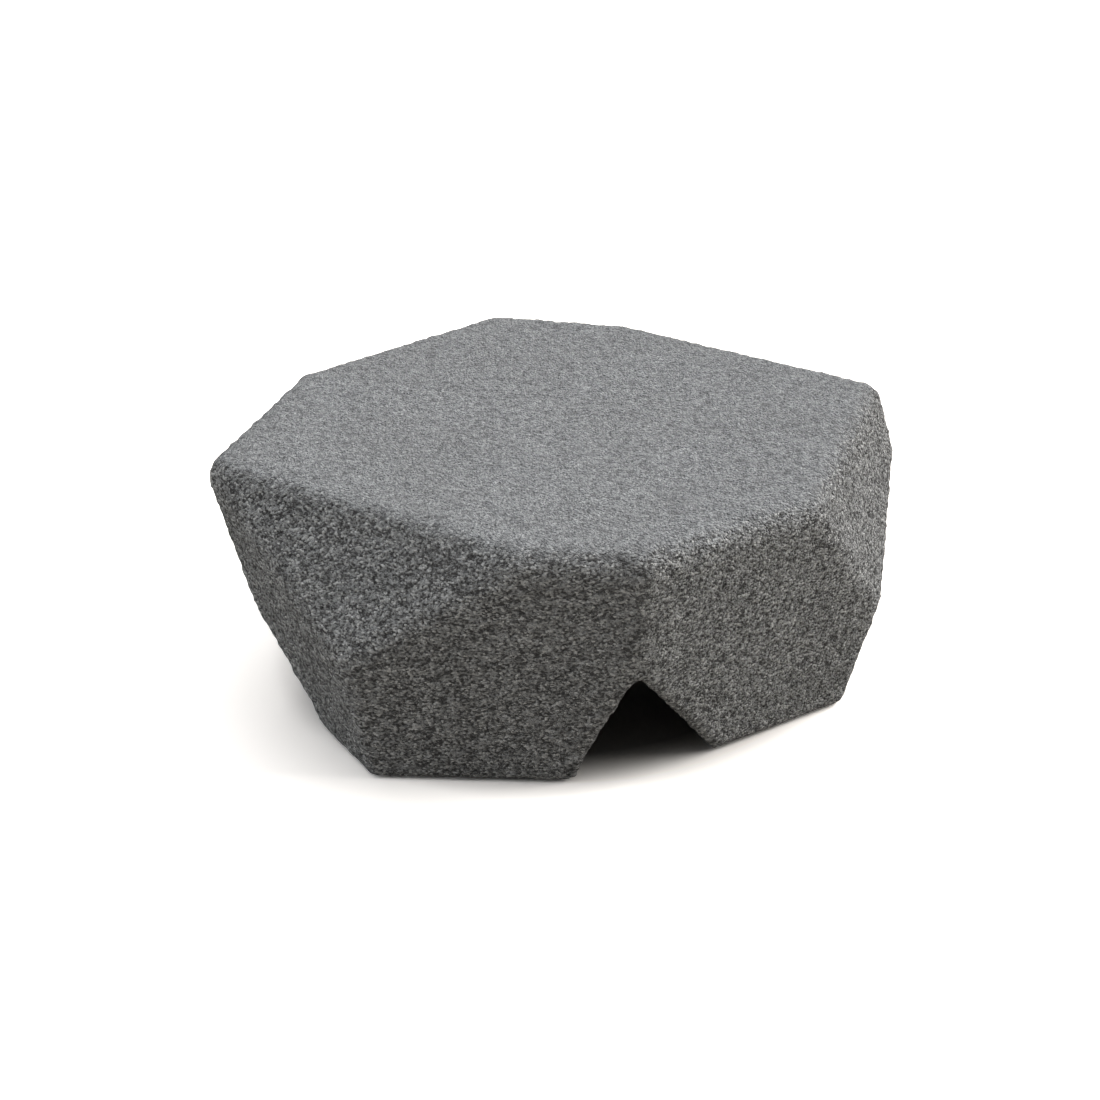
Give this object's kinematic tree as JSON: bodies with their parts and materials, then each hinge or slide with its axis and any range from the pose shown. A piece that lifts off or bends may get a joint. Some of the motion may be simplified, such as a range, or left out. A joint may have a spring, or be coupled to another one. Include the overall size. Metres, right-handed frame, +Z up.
{
  "type": "low table",
  "caption": "Low outdoor table shaped like a faceted boulder: a hollow moulded body with a flat top, open underside with arched notches, and feet on glides.",
  "frame": {"origin": "middle of the footprint of the bounding box, on the floor", "axes": "+X along the longest side, +Z up through the table top, -Y towards the side with the widest notch"},
  "size_m": [0.8138, 0.7258, 0.31],
  "materials": {
    "stone_skin": "coarse granular stone-look skin, matte",
    "plug_plastic": "plain matte",
    "glide_plastic": "plain matte",
    "zinc_steel": "zinc plated",
    "insert_brass": "turned"
  },
  "bodies": {
    "root": {"moulded_shell": "stone_skin", "vent_plug": "plug_plastic", "glide_front_left": "glide_plastic", "screw_front_left": "zinc_steel", "insert_front_left": "insert_brass", "glide_front_right": "glide_plastic", "screw_front_right": "zinc_steel", "insert_front_right": "insert_brass", "glide_back_right": "glide_plastic", "screw_back_right": "zinc_steel", "insert_back_right": "insert_brass", "glide_back_left": "glide_plastic", "screw_back_left": "zinc_steel", "insert_back_left": "insert_brass"}
  },
  "joints": []
}
